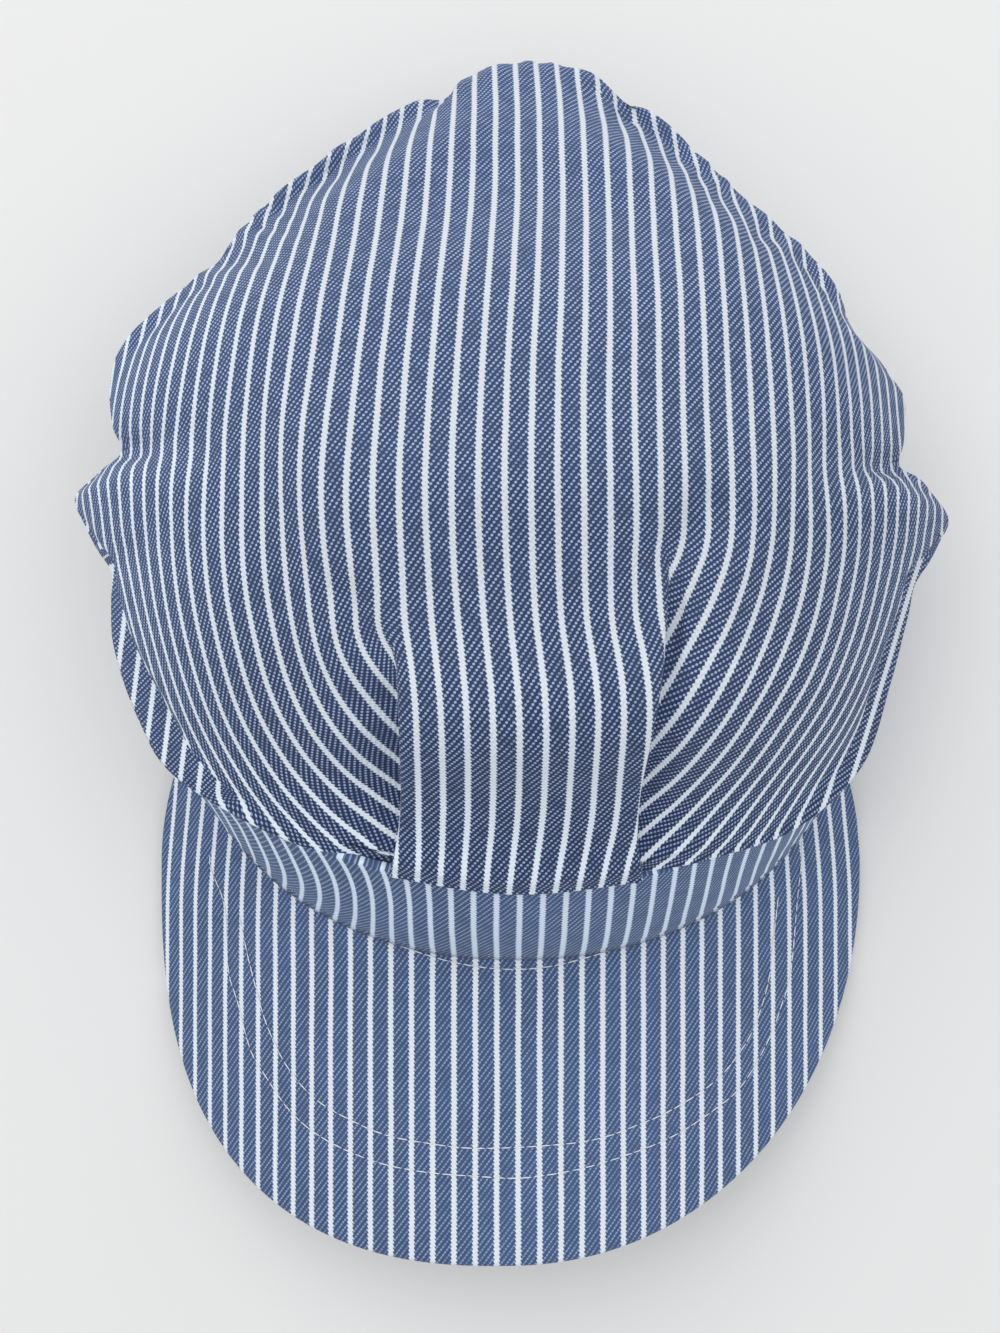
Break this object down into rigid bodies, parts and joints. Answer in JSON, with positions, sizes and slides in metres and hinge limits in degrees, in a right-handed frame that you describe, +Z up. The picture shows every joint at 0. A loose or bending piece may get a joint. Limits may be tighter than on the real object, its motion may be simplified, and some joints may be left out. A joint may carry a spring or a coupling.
{
  "type": "conductor cap",
  "caption": "Soft striped conductor cap with a low puffed pleated crown, a standing band and an arched peak.",
  "frame": {"origin": "middle of the bottom of the box round the cap, on the surface that the band's foot rests on", "axes": "+Z up, -Y towards the front of the peak, +X towards the wearer's left side"},
  "size_m": [0.191, 0.2714, 0.0828],
  "materials": {
    "crown_cloth": "navy cotton twill with narrow white stripes, matte",
    "band_cloth": "navy cotton twill with narrow white stripes, matte",
    "peak_cloth": "navy cotton twill with narrow white stripes over a stiffener, matte"
  },
  "bodies": {
    "root": {"crown": "crown_cloth", "band": "band_cloth", "peak": "peak_cloth"}
  },
  "joints": []
}
